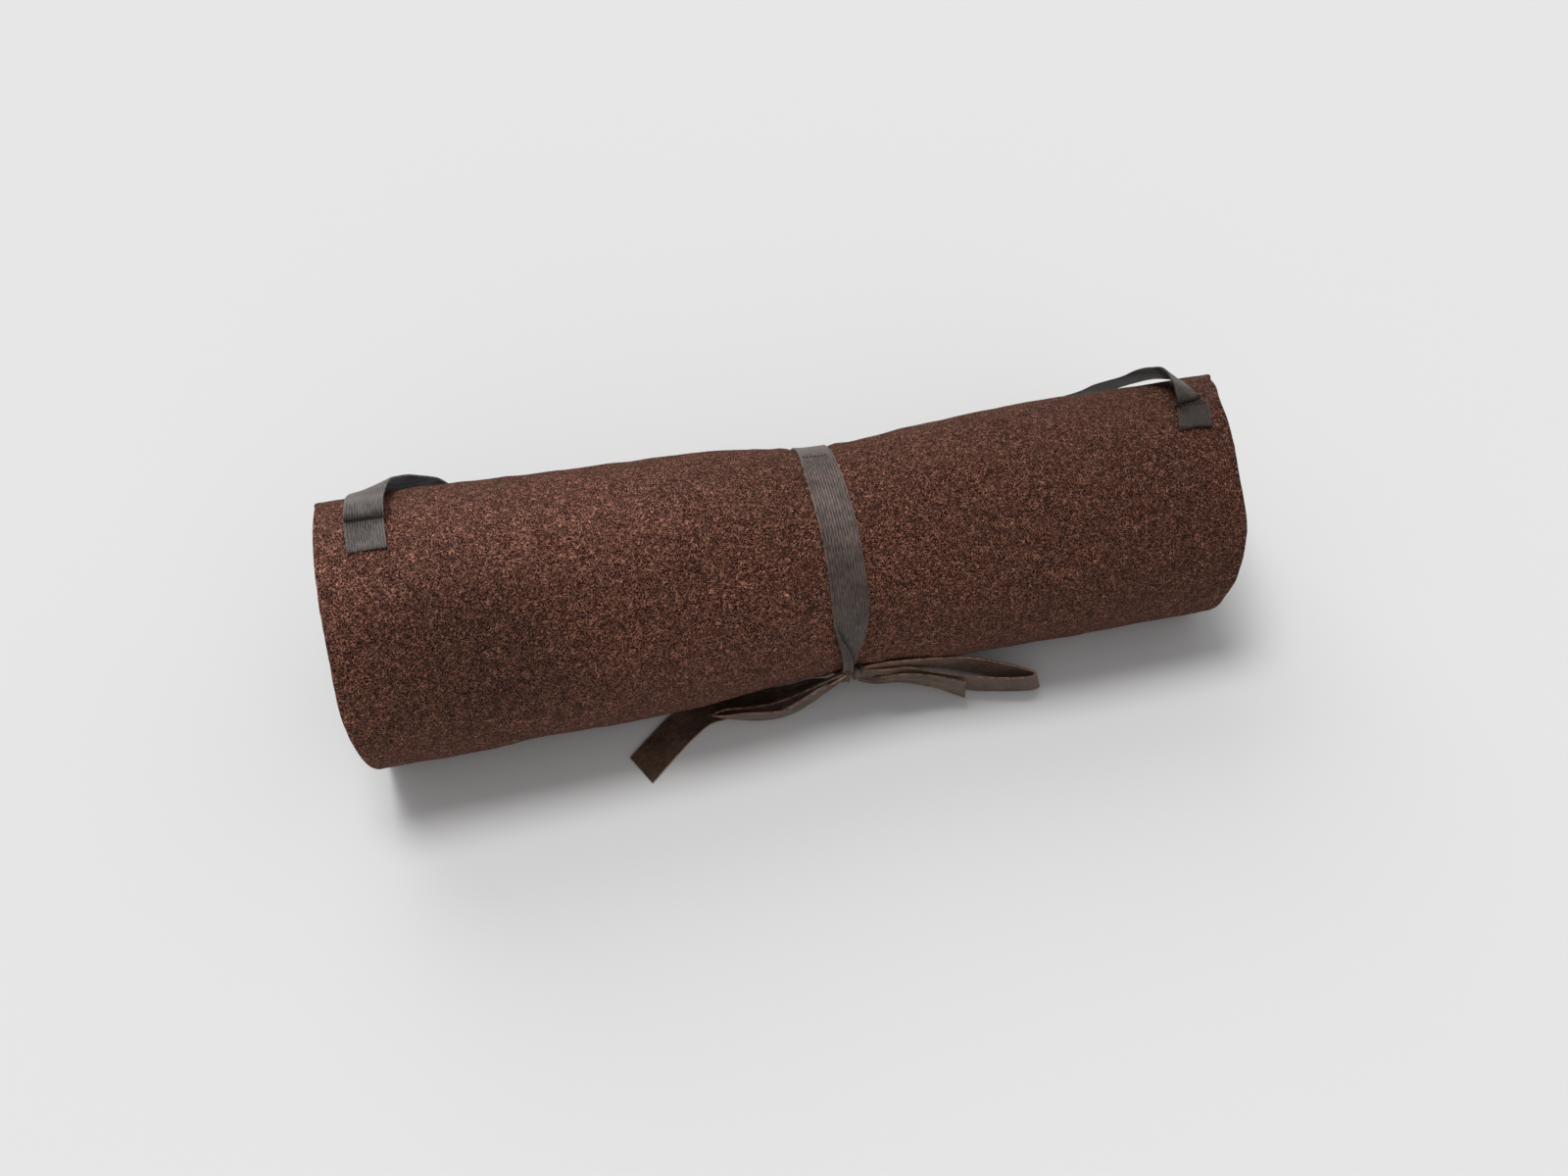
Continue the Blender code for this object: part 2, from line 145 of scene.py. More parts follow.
def soft_noise(u, v, size, seed):
    """Smooth random relief between -1 and 1 over u, v, with bumps of the given size."""
    lattice = np.random.default_rng(seed).uniform(-1.0, 1.0, (256, 256))
    a, b = u / size + 64.0, v / size + 64.0
    i, j = np.floor(a).astype(int), np.floor(b).astype(int)
    s, t = smoothstep(a - i), smoothstep(b - j)
    i, j = i % 255, j % 255
    top = lattice[i, j] * (1 - s) + lattice[i + 1, j] * s
    bottom = lattice[i, j + 1] * (1 - s) + lattice[i + 1, j + 1] * s
    return top * (1 - t) + bottom * t


# ---------------------------------------------------------------- mesh helpers
def mesh_object(name, points, faces, material, sharp=50.0):
    mesh = bpy.data.meshes.new(name)
    mesh.from_pydata(np.asarray(points).tolist(), [], faces)
    mesh.validate()
    mesh.shade_smooth()
    mesh.set_sharp_from_angle(angle=math.radians(sharp))
    mesh.materials.append(material)
    obj = bpy.data.objects.new(name, mesh)
    bpy.context.scene.collection.objects.link(obj)
    return obj


def shell(name, outer, inner, weave, material, lining_and_painted_light=(0.0, 0.0)):
    """A closed sheet between two grids of frame points; weave holds its cloth coordinates in metres.

    The inner-face value says how much each grid is the cloth's inner face; below zero it is painted crease
    shade.
    """
    rows, columns = outer.shape[:2]
    index = np.arange(rows * columns).reshape(rows, columns)
    a, b, c, d = index[:-1, :-1], index[1:, :-1], index[1:, 1:], index[:-1, 1:]
    quads = np.stack([a, b, c, d], axis=-1).reshape(-1, 4)
    back = quads[:, ::-1] + rows * columns
    loop = np.concatenate([index[:, 0], index[-1, 1:], index[-2::-1, -1], index[0, -2:0:-1]])
    after = np.roll(loop, -1)
    rim = np.stack([after, loop, loop + rows * columns, after + rows * columns], axis=-1)
    faces = np.concatenate([quads, back, rim])
    points = np.concatenate([outer.reshape(-1, 3), inner.reshape(-1, 3)])
    points[:, 2] = np.maximum(points[:, 2], FLOOR_CLEARANCE * MM)
    if shell_is_inside_out(points, faces):
        faces = faces[:, ::-1]
    obj = mesh_object(name, points, faces.tolist(), material)
    sides = [np.broadcast_to(value, (rows, columns)).ravel() for value in lining_and_painted_light]
    lay_cloth(obj, np.concatenate([weave.reshape(-1, 2)] * 2), np.concatenate(sides))
    return obj


def lay_cloth(obj, weave, lining_and_painted_light):
    """Give each point of a mesh its cloth coordinates and its inner-face value, which also carries painted
    crease shade.
    """
    layer = obj.data.uv_layers.new(name="weave")
    corners = np.zeros(len(obj.data.loops), np.int64)
    obj.data.loops.foreach_get("vertex_index", corners)
    layer.data.foreach_set("uv", weave[corners].astype(np.float32).ravel())
    side = obj.data.attributes.new(name="lining_and_painted_light", type="FLOAT", domain="POINT")
    side.data.foreach_set("value", lining_and_painted_light.astype(np.float32))


def shell_is_inside_out(points, faces):
    """The volume inside the quads is negative."""
    p = points[faces]
    fan = np.einsum("ij,ij->i", p[:, 0], np.cross(p[:, 1], p[:, 2]))
    fan += np.einsum("ij,ij->i", p[:, 0], np.cross(p[:, 2], p[:, 3]))
    return fan.sum() < 0


def rounding(distance, radius):
    """How far a face drops at this distance from a rounded edge."""
    near = np.clip(radius - distance, 0.0, radius)
    return radius - np.sqrt(radius ** 2 - near ** 2)


def edge_steps(start, end, step, radius):
    """Stations from start to end, with extra ones close to both ends for a rounded edge."""
    close = np.array([0.0, 0.08, 0.3, 0.62, 1.0]) * radius
    count = max(2, round((end - start - 2 * radius) / step))
    middle = np.linspace(start + radius, end - radius, count + 1)[1:-1]
    return np.concatenate([start + close, middle, (end - close)[::-1]])


# ---------------------------------------------------------------- materials
class Shader:
    """A Principled material and short ways to add nodes to it."""

    def __init__(self, name, roughness, sheen=0.0, sheen_tint=(1.0, 1.0, 1.0)):
        self.material = bpy.data.materials.new(name)
        self.material.use_nodes = True
        self.tree = self.material.node_tree
        self.principled = self.tree.nodes["Principled BSDF"]
        self.set("Roughness", roughness)
        self.set("Sheen Weight", sheen)
        self.set("Sheen Roughness", 0.5)
        self.set("Sheen Tint", (*sheen_tint, 1.0))
        self.set("Specular IOR Level", 0.25)

    def set(self, socket, value):
        self.feed(self.principled.inputs[socket], value)

    def feed(self, socket, value):
        if isinstance(value, bpy.types.NodeSocket):
            self.tree.links.new(value, socket)
        else:
            socket.default_value = value

    def add(self, kind, inputs, **settings):
        node = self.tree.nodes.new(kind)
        for key, value in settings.items():
            setattr(node, key, value)
        for key, value in inputs.items():
            self.feed(node.inputs[key], value)
        return node

    def math(self, operation, a, b=0.0, clamp=False):
        return self.add("ShaderNodeMath", {0: a, 1: b}, operation=operation, use_clamp=clamp).outputs[0]

    def ramp(self, value, low, high, start=0.0, end=1.0):
        """Smooth step of value between low and high, giving start to end."""
        inputs = {"Value": value, 1: low, 2: high, 3: start, 4: end}
        return self.add("ShaderNodeMapRange", inputs, interpolation_type="SMOOTHSTEP").outputs[0]

    def mix(self, factor, a, b, blend="MIX"):
        node = self.add("ShaderNodeMix", {0: factor}, data_type="RGBA", blend_type=blend)
        for socket, value in ((node.inputs[6], a), (node.inputs[7], b)):
            self.feed(socket, value if isinstance(value, bpy.types.NodeSocket) else (*value, 1.0))
        return node.outputs[2]

    def object_coordinates(self):
        return self.add("ShaderNodeTexCoord", {}).outputs["Object"]

    def weave_coordinates(self):
        node = self.add("ShaderNodeUVMap", {}, uv_map="weave")
        split = self.add("ShaderNodeSeparateXYZ", {0: node.outputs[0]})
        return node.outputs[0], split.outputs[0], split.outputs[1]

    def part(self, vector, axis):
        return self.add("ShaderNodeSeparateXYZ", {0: vector}).outputs[axis]

    def vector(self, operation, a, b):
        return self.add("ShaderNodeVectorMath", {0: a, 1: b}, operation=operation).outputs[0]

    def distance(self, a, b):
        return self.add("ShaderNodeVectorMath", {0: a, 1: b}, operation="DISTANCE").outputs["Value"]

    def noise(self, vector, size, detail=0.0, roughness=0.5):
        """Noise whose features are about size metres across."""
        inputs = {"Vector": vector, "Scale": 1.0 / size, "Detail": detail, "Roughness": roughness}
        return self.add("ShaderNodeTexNoise", inputs).outputs[0]

    def bump(self, height, distance):
        inputs = {"Height": height, "Distance": distance, "Strength": 1.0}
        self.set("Normal", self.add("ShaderNodeBump", inputs).outputs[0])


def fibre_strokes(shader, place, size, width, offset):
    """Short curved strokes, like loose fibres in felt: broken contour lines of a noise."""
    moved = shader.vector("ADD", place, offset)
    level = shader.noise(moved, size, 0.6)
    line = shader.ramp(shader.math("ABSOLUTE", shader.math("SUBTRACT", level, 0.5)), 0.0, width, 1.0, 0.0)
    elsewhere = shader.vector("ADD", moved, (0.37, 0.11, 0.23))
    broken = shader.ramp(shader.noise(elsewhere, size * 0.9), 0.515, 0.615)
    return shader.math("MULTIPLY", line, broken)


# Size and width of the felt's strokes, each kind taken from its own part of the noise.
STROKES = ((0.0007, 0.10, (0.0, 0.0, 0.0)), (0.00055, 0.11, (0.31, 0.07, 0.19)),
           (0.0013, 0.05, (0.13, 0.41, 0.05)), (0.0024, 0.022, (0.47, 0.29, 0.61)))
HANDLED_MIDDLE = (-0.14, -0.065, 0.085)
# Painted highlight: this tint paints the felt's top paler, where the light grazes it.
TOP_LIGHT_TINT = (1.5, 1.56, 1.66)


def make_felt(name, dark, mid, red, grime, fibre, sheen):
    """Heathered wool felt: a mottled ground with pale fibres lying in every direction on it.

    The right half is painted a deeper, darker red brown than the left: the redder tone is the dye, the darker
    one painted shade where the light from the left falls off.
    The top of the left half is painted paler, a painted highlight where the light grazes it.
    The front of the left half has a patch that handling has made darker and greyer.
    """
    shader = Shader(name, 0.95, sheen, (1.0, 0.66, 0.55))
    shader.set("Specular IOR Level", 0.06)
    place = shader.object_coordinates()
    along, above = shader.part(place, 0), shader.part(place, 2)
    wander = shader.add("ShaderNodeTexNoise", {"Vector": place, "Scale": 700.0, "Detail": 1.0}).outputs[1]
    wander = shader.vector("MULTIPLY", wander, (0.0008,) * 3)
    bent = shader.vector("ADD", place, wander)
    strokes = fibre_strokes(shader, bent, *STROKES[0])
    for kind in STROKES[1:]:
        strokes = shader.math("MAXIMUM", strokes, fibre_strokes(shader, bent, *kind))
    patches = shader.ramp(shader.noise(place, 0.03, 3.0, 0.6), 0.38, 0.66)
    redness = shader.ramp(shader.noise(shader.vector("ADD", place, (0.5, 0.2, 0.7)), 0.016, 2.0), 0.4, 0.66)
    speckle = shader.noise(place, 0.0005, 2.0, 0.75)
    curds = shader.noise(shader.vector("ADD", place, (0.2, 0.6, 0.1)), 0.0010, 2.0, 0.65)
    ground = shader.mix(shader.math("MULTIPLY", patches, 0.7), mid, dark)
    ground = shader.mix(shader.math("MULTIPLY", redness, 0.6), ground, red)
    # Painted shade: towards the right the ground is painted darker as well as redder. The redder tone is the
    # dye, and the darker one stands in for the light from the left falling off.
    ground = shader.mix(shader.ramp(along, -0.10, 0.18, 0.0, 0.6), ground, [c * 0.6 for c in red])
    ragged = shader.math("MULTIPLY", shader.noise(place, 0.02, 2.0), 0.03)
    handled = shader.math("ADD", shader.distance(place, HANDLED_MIDDLE), ragged)
    ground = shader.mix(shader.ramp(handled, 0.03, 0.072, 0.75, 0.0), ground, grime)
    ground = shader.mix(shader.ramp(curds, 0.34, 0.6, 0.45, 0.0), ground, dark)
    ground = shader.mix(shader.ramp(speckle, 0.36, 0.56, 0.8, 0.0), ground, [c * 0.2 for c in dark])
    ground = shader.mix(shader.ramp(speckle, 0.52, 0.68, 0.0, 0.35), ground, [c * 0.35 for c in fibre])
    thinly = shader.ramp(shader.noise(place, 0.0030, 2.0, 0.7), 0.36, 0.64, 0.45, 0.95)
    thinly = shader.math("MULTIPLY", thinly, shader.ramp(handled, 0.03, 0.075, 0.72, 1.0))
    # Fewer pale fibres show towards the right: part of the same painted shade.
    thinly = shader.math("MULTIPLY", thinly, shader.ramp(along, 0.0, 0.17, 1.0, 0.76))
    strength = shader.math("MULTIPLY", strokes, thinly)
    color = shader.mix(strength, ground, fibre)
    # Painted highlight: the top of the left half is painted paler, where the light from above and the left
    # grazes it.
    leftward = shader.ramp(along, -0.02, 0.16, 1.0, 0.4)
    painted_top_light = shader.math("MULTIPLY", shader.ramp(above, 0.097, 0.114), leftward)
    shader.set("Base Color", shader.mix(painted_top_light, color, TOP_LIGHT_TINT, "MULTIPLY"))
    height = shader.math("MULTIPLY", strokes, 0.6)
    height = shader.math("ADD", height, shader.math("MULTIPLY", speckle, 0.7))
    height = shader.math("ADD", height, shader.math("MULTIPLY", curds, 1.1))
    shader.bump(height, 0.0007)
    return shader.material


def make_ribbon(name, ground, light, edge, rib_pitch, pick_pitch, width, relief, lining_and_painted_light, tints_and_painted_light):
    """Woven ribbon: ribs along its length, finer picks across, and a pale selvedge down both sides.

    The pitches, width and relief are in metres. The inner-face tint colours the inner face: for the tie it is
    a lilac tint with painted light, and for the webbing it is painted shade. Where the mesh's inner-face
    value is below zero, painted crease shade darkens the ribbon by that much.
    The tints along the object each give an axis of the object, where along it the color starts to change,
    where it has changed, and by how much. They hold the ribbon's own tones and painted light and shade.
    """
    shader = Shader(name, 0.42, 0.1, (0.95, 0.84, 0.76))
    shader.set("Specular IOR Level", 0.34)
    weave, along, across = shader.weave_coordinates()
    turns = 2 * math.pi
    rib = shader.math("SINE", shader.math("MULTIPLY", across, turns / rib_pitch))
    pick = shader.math("SINE", shader.math("MULTIPLY", along, turns / pick_pitch))
    rib = shader.math("ADD", shader.math("MULTIPLY", rib, 0.5), 0.5)
    pick = shader.math("ADD", shader.math("MULTIPLY", pick, 0.5), 0.5)
    cell = shader.math("MULTIPLY", rib, shader.math("ADD", shader.math("MULTIPLY", pick, 0.4), 0.6))
    streak = shader.noise(shader.vector("MULTIPLY", weave, (0.25, 1.0, 1.0)), 0.0007, 2.0)
    place = shader.object_coordinates()
    worn = shader.noise(place, 0.011, 2.0)
    centre = shader.math("ABSOLUTE", across)
    selvedge = shader.ramp(centre, width / 2 - 0.0006, width / 2 - 0.0002)
    broken = shader.noise(shader.vector("ADD", weave, (0.3, 0.1, 0.0)), 0.0016, 2.0)
    broken = shader.ramp(broken, 0.42, 0.6)
    loops = shader.math("SINE", shader.math("MULTIPLY", along, turns / 0.0012))
    broken = shader.math("MULTIPLY", broken, shader.ramp(loops, -0.5, 0.5, 0.35, 1.0))
    tone = shader.math("MULTIPLY", cell, 0.7)
    tone = shader.math("ADD", tone, shader.ramp(streak, 0.35, 0.65, -0.2, 0.35))
    tone = shader.math("ADD", tone, shader.ramp(worn, 0.35, 0.7, -0.15, 0.25), clamp=True)
    color = shader.mix(tone, ground, light)
    color = shader.mix(shader.math("MULTIPLY", selvedge, shader.math("MULTIPLY", broken, 0.85)), color, edge)
    inner = shader.add("ShaderNodeAttribute", {}, attribute_name="lining_and_painted_light",
                       attribute_type="GEOMETRY").outputs["Fac"]
    # Inner-face tint: painted light on the tie's inner face, and painted shade on the webbing's.
    color = shader.mix(inner, color, lining_and_painted_light, "MULTIPLY")
    # Painted crease shade: below zero the inner-face value darkens the color towards black.
    color = shader.mix(shader.math("MULTIPLY", inner, -1.0), color, (0.0, 0.0, 0.0))
    # Tints along the object: the tie's own browner tone low down, plus painted light and shade. These are a
    # painted highlight on top of the roll, lighter low down against the shade, and painted shade at the
    # webbing's right end.
    for axis, start, end, tint in tints_and_painted_light:
        reached = shader.ramp(shader.part(place, axis), start, end)
        color = shader.mix(reached, color, tint, "MULTIPLY")
    shader.set("Base Color", color)
    height = shader.math("ADD", cell, shader.math("MULTIPLY", streak, 0.5))
    height = shader.math("ADD", height, shader.math("MULTIPLY", selvedge, 0.5))
    shader.bump(height, relief)
    return shader.material


def make_thread(name, color):
    """Twisted sewing thread."""
    shader = Shader(name, 0.55, 0.2)
    place = shader.object_coordinates()
    twist = shader.add("ShaderNodeTexWave", {"Vector": place, "Scale": 900.0, "Distortion": 2.0},
                       bands_direction="DIAGONAL").outputs[1]
    fuzz = shader.noise(place, 0.0004, 2.0)
    shader.set("Base Color", shader.mix(twist, color, [min(1.0, c * 2.2 + 0.01) for c in color]))
    shader.bump(shader.math("ADD", twist, fuzz), 0.0001)
    return shader.material


FELT = make_felt("felt", dark=(0.008, 0.0020, 0.0012), mid=(0.027, 0.0074, 0.0043),
                 red=(0.027, 0.0052, 0.0018), grime=(0.0075, 0.0034, 0.0026),
                 fibre=(0.72, 0.32, 0.215), sheen=0.07)
PANEL_FELT = make_felt("panel_felt", dark=(0.045, 0.022, 0.016), mid=(0.090, 0.045, 0.034),
                       red=(0.1, 0.044, 0.030), grime=(0.045, 0.024, 0.018),
                       fibre=(0.22, 0.14, 0.115), sheen=0.2)
# The tie ribbon is painted browner and lighter low down in the bow: browner is its own tone, and lighter is
# painted light that lifts the shade under the roll. On top of the roll it is painted paler, a painted
# highlight. Its inner faces are painted lighter and lilac: a lilac tint, with painted light that lifts the
# shade between a loop's strands.
TIE = make_ribbon("tie_ribbon", ground=(0.017, 0.0105, 0.0085), light=(0.090, 0.062, 0.050),
                  edge=(0.14, 0.092, 0.06), rib_pitch=0.00125, pick_pitch=0.0006,
                  width=RIBBON_WIDTH * MM, relief=0.00016, lining_and_painted_light=(2.2, 2.1, 2.5),
                  tints_and_painted_light=((2, 0.050, 0.030, (1.6, 1.32, 1.0)), (2, 0.078, 0.104, (1.9, 1.95, 2.0))))
# The webbing is painted darker and browner towards the right end: painted shade where the light from the left
# falls off. Its inner face is painted darker and bluer: painted shade on the face that turns down and away
# behind the roll.
WEBBING = make_ribbon("strap_webbing", ground=(0.043, 0.035, 0.032), light=(0.160, 0.138, 0.125),
                      edge=(0.30, 0.25, 0.20), rib_pitch=0.00105, pick_pitch=0.0007,
                      width=RIBBON_WIDTH * MM, relief=0.00022, lining_and_painted_light=(0.48, 0.50, 0.95),
                      tints_and_painted_light=((0, 0.10, 0.17, (0.21, 0.13, 0.10)),))
THREAD = make_thread("thread", (0.016, 0.013, 0.012))


# ---------------------------------------------------------------- felt
def felt_relief(arc, x, phi):
    """Soft lumps on the outer turn, the felt's swelling beside the ribbon, and calm under sewn pieces."""
    lumps = 0.5 * soft_noise(arc, x, 30.0, 3) + 0.26 * soft_noise(arc, x, 9.0, 4)
    lumps += 0.12 * soft_noise(arc, x, 3.4, 5)
    off_waist = np.abs(x - WAIST_X)
    calm = smoothstep((off_waist - 7.5) / 8.0)
    swell = 0.9 * np.exp(-((off_waist - 11.5) / 3.6) ** 2) - 0.05 * np.exp(-(off_waist / 7.0) ** 2)
    theta = phi + EDGE_ANGLE
    for tab in TABS.values():
        middle = tab["x"] + tab["skew"] / 2
        over = smoothstep((11.0 - np.abs(x - middle)) / 2.5) * smoothstep((theta - 70.0) / 3.0)
        over = over * smoothstep((99.5 - theta) / 3.0)
        calm = calm * (1.0 - over)
    return lumps * calm + swell


def wound_sheet(name, start, end, left, right, depth, thickness, steps, material, cover=False):
    """A sheet wound into the spiral between two angles and two places along the roll.

    The cover is coarser once it is out of sight, and its two free corners flare.
    """
    radius = thickness * 0.38
    mean = ROLL_RADIUS - 6.0
    arcs = edge_steps(math.radians(start) * mean, math.radians(end) * mean, steps[0], radius)
    if cover:
        turn = math.radians(370.0) * mean
        arcs = np.concatenate([arcs[arcs < turn], arcs[arcs >= turn][:-6:2], arcs[-6:]])
    xs = edge_steps(left, right, steps[1], radius)
    phi, x = np.meshgrid(np.degrees(arcs / mean), xs, indexing="ij")
    arc = np.radians(phi) * mean
    edge = np.minimum(np.minimum(x - left, right - x), np.minimum(arc - arcs[0], arcs[-1] - arc))
    drop = rounding(edge, radius)
    theta = phi + EDGE_ANGLE
    wander = 0.45 * soft_noise(arc, np.sign(x) * 40.0, 17.0, 7)
    wander = wander + 0.16 * soft_noise(arc, np.sign(x) * 9.0, 2.6, 8)
    reach = (np.abs(x) / (ROLL_LENGTH / 2)) ** 6
    moved = x + end_drift(x, theta) + wander * reach
    outer_relief, inner_relief = 0.0, 0.0
    if cover:
        shown = smoothstep((350.0 - phi) / 40.0)
        outer_relief = felt_relief(arc, x, phi) * shown
        corner = np.exp(-phi / np.where(x > 0, 7.0, 9.0)) * reach
        moved = moved + corner * np.where(x > 0, 4.6, -2.8)
        corner = corner * np.where(x > 0, 0.5, -0.5)
        outer_relief = outer_relief + corner * 1.2
        inside = smoothstep((phi - 560.0) / 30.0)
        inner_relief = 0.25 * soft_noise(arc, x, 14.0, 11) * inside + corner * 1.0
        inset = phi / 360.0 * reach * np.where(x > 0, -1.6, 2.0)
        moved = moved + inset
    base = wind_depth(phi) + depth
    outer = roll_points(x, theta, base + drop - outer_relief)
    inner = roll_points(x, theta, base + thickness - drop - inner_relief)
    outer[..., 0] = moved
    inner[..., 0] = moved
    weave = np.stack([arc, x], axis=-1) * MM
    return shell(name, to_frame(outer), to_frame(inner), weave, material)


def wound_length(start, end, depth):
    """Length of a sheet wound between two angles, measured along its middle."""
    phi = np.linspace(start, end, 400)
    line = roll_points(100.0, phi + EDGE_ANGLE, wind_depth(phi) + depth)
    return np.linalg.norm(np.diff(line, axis=0), axis=1).sum()


def make_felt_pieces():
    """The cover, and inside it the pocket panel and the flap over the brush tips."""
    inner = FELT_THICKNESS + LAYER_GAP
    for name, node, start, end, left, right, depth, thickness, steps, material, slot in (
            ("felt_cover", "outer_cover", 0.0, WOUND_ANGLE, -ROLL_LENGTH / 2, ROLL_LENGTH / 2, 0.0,
             FELT_THICKNESS, (2.0, 2.4), FELT, "felt"),
            ("pocket_sheet", "pocket_panel", PANEL_START, PANEL_END, PANEL_LEFT, PANEL_RIGHT, inner,
             PANEL_THICKNESS, (4.0, 6.0), PANEL_FELT, "panel_felt"),
            ("tip_sheet", "tip_flap", PANEL_START, PANEL_END, FLAP_LEFT, FLAP_RIGHT, inner,
             PANEL_THICKNESS, (4.0, 6.0), PANEL_FELT, "panel_felt")):
        sheet = wound_sheet(name, start, end, left, right, depth, thickness, steps, material,
                            cover=name == "felt_cover")
        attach(sheet, "roll")
        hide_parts(node)
        length = wound_length(start, end, depth + thickness / 2)


# ---------------------------------------------------------------- ribbons
def catmull_rom(points, samples):
    """A smooth curve through rows of numbers."""
    rows = np.array([points[0]] + list(points) + [points[-1]], float)
    t = (np.arange(samples) / samples)[:, None]
    curve = []
    for p, q, r, s in zip(rows, rows[1:], rows[2:], rows[3:]):
        curve.append(0.5 * (2 * q + (r - p) * t + (2 * p - 5 * q + 4 * r - s) * t ** 2
                            + (3 * q - p - 3 * r + s) * t ** 3))
    curve.append(rows[-1:])
    return np.concatenate(curve)


def unit(v):
    return v / np.linalg.norm(v, axis=-1, keepdims=True)


def grid_normals(grid):
    return unit(np.cross(np.gradient(grid, axis=0), np.gradient(grid, axis=1)))


def run_length(line):
    """Distance run along a line of points, at each of them."""
    steps = np.linalg.norm(np.diff(line, axis=0), axis=1)
    return np.concatenate([[0.0], np.cumsum(steps)])


def ribbon_weave(length, v):
    """Cloth coordinates of a ribbon's grid, from the run along it and the place across it."""
    along, across = length[:, None] * MM, v[None, :] * RIBBON_WIDTH / 2 * MM
    return np.stack(np.broadcast_arrays(along, across), axis=-1)


def ribbon_profile(columns):
    """Places across a ribbon from -1 to 1, close together at its edges."""
    t = np.linspace(-1.0, 1.0, columns)
    return np.sign(t) * (1.0 - (1.0 - np.abs(t)) ** 1.6)


def ribbon(name, route, square, material, relief=None, samples=12, columns=21, slant=0.0,
           thickness=RIBBON_THICKNESS, lining_and_painted_light=(0.0, 0.0)):
    """A ribbon along a route of rows: place, width direction and gathered width.

    With square, it lies at right angles to the route. slant skews its cut end.
    """
    curve = catmull_rom(route, samples)
    place = curve[:, :3]
    tangent = unit(np.gradient(place, axis=0))
    across = curve[:, 3:6]
    if square:
        across = across - tangent * np.sum(across * tangent, axis=1, keepdims=True)
    across = unit(across)
    normal = unit(np.cross(tangent, across))
    length = run_length(place)
    v = ribbon_profile(columns)
    width = curve[:, 6]
    gathered = 1.0 - np.clip(width / RIBBON_WIDTH, 0.0, 1.0)
    rise = 0.0 if relief is None else relief(length[:, None], v[None, :], gathered[:, None])
    rise = rise + 0.07 * soft_noise(length[:, None], v[None, :] * 8.0, 5.0, 21)
    middle = place[:, None] + across[:, None] * (width[:, None] / 2 * v[None, :])[..., None]
    middle = middle + normal[:, None] * np.broadcast_to(rise, middle.shape[:2])[..., None]
    if slant:
        late = smoothstep((length - length[-1] + 12.0) / 12.0)
        middle = middle + tangent[:, None] * (late[:, None] * v[None, :] * slant)[..., None]
    side = RIBBON_WIDTH / 2 * (1.0 - np.abs(v))
    half = thickness / 2 * (0.92 - 0.1 * smoothstep((side - 0.6) / 0.8)) - rounding(side, 0.3)
    offset = grid_normals(middle) * half[None, :, None]
    return shell(name, to_frame(middle + offset), to_frame(middle - offset), ribbon_weave(length, v),
                 material, lining_and_painted_light)


def pleats(length, v, gathered):
    """Relief of a gathered ribbon: pleats that deepen as it narrows."""
    return gathered * np.sin(1.5 * math.pi * v + 0.02 * length)


def leaning(x, y, z, lean, width, tilt=0.0):
    """A route row for a ribbon on edge, its top leaning towards -Y by an angle in degrees."""
    angle = math.radians(lean)
    return [x, y, z, tilt, -math.sin(angle), math.cos(angle), width]


def facing(x, y, z, across, width=RIBBON_WIDTH):
    """A route row for a ribbon with its width along the given direction."""
    return [x, y, z, *across, width]


# Rows: x, y, z of the ribbon's middle, how far its top leans towards -Y, and its gathered width. The
# right loop's tip also tilts along x. All four start inside the knot, and the loops end there too.
LOOP_LEFT = [leaning(*row) for row in (
    (10.0, -46.6, 29.0, 27, 5.5), (0, -44.8, 21.6, 20, 6.5), (-9, -43.5, 14.0, 10, 8),
    (-20, -42.5, 7.9, 8, 10), (-32, -40.8, 7.1, 15, 9), (-42, -39.2, 7.7, 30, 12),
    (-47.5, -40.0, 8.1, 40, 13.5), (-43.5, -42.4, 8.4, 36, 15.5), (-34, -44.9, 9.0, 28, 16),
    (-25, -46.9, 9.0, 26, 16), (-16, -47.6, 9.6, 26, 15), (-7, -47.7, 14.8, 16, 12),
    (2, -48.6, 22.4, 16, 8), (10.0, -47.6, 28.4, 27, 5.5))]
TAIL_LEFT = [leaning(*row) for row in (
    (10.4, -44.4, 21.6, 28, 4.5), (2.5, -40.7, 17.1, 46, 6.2), (-4, -38.1, 12.6, 72, 7.8),
    (-11, -36.8, 9.0, 80, 8.5), (-18, -35.2, 5.2, 86, 10.5), (-25, -33.2, 2.2, 90, 13),
    (-33, -31.4, 0.95, 90, 15.5), (-42, -31.0, 0.85, 90, 16), (-51, -32.6, 0.85, 90, 16),
    (-61, -39.0, 0.85, 90, 16), (-70, -46.5, 0.85, 90, 16), (-81.7, -57.0, 0.85, 90, 16))]
LOOP_RIGHT = [leaning(*row) for row in (
    (17.3, -46.6, 29.2, 27, 5.5), (26, -46.9, 29.6, 25, 7), (33, -46.9, 28.9, 24, 8.5),
    (50, -45.6, 23.6, 20, 12), (67, -43.3, 14.6, 15, 15.5), (82.2, -47.0, 10.2, 12, 16, -0.08),
    (92.7, -51.8, 9.3, 12, 16, -0.2), (96.2, -54.6, 9.2, 12, 16, -0.26), (91.7, -55.8, 9.2, 14, 16, -0.2),
    (79.2, -53.4, 9.2, 16, 16, -0.08), (66, -50.6, 10.6, 16, 16), (52, -48.9, 16.2, 18, 13.5),
    (38, -48.9, 24.6, 20, 10), (28, -49.3, 27.4, 25, 7.5), (17.3, -47.6, 28.0, 27, 5.5))]
TAIL_RIGHT = [leaning(*row) for row in (
    (17.0, -44.6, 21.4, 28, 4.5), (22.8, -47.7, 21.8, 27, 5), (27, -50.3, 24.2, 24, 5.8),
    (33, -51.4, 24.9, 20, 7), (40, -51.6, 22.8, 17, 8.5), (47.5, -51.9, 19.4, 16, 10),
    (54.5, -52.4, 15.8, 16, 12), (59.5, -53.2, 12.8, 15, 13.5), (63.3, -54.1, 10.8, 14, 14))]

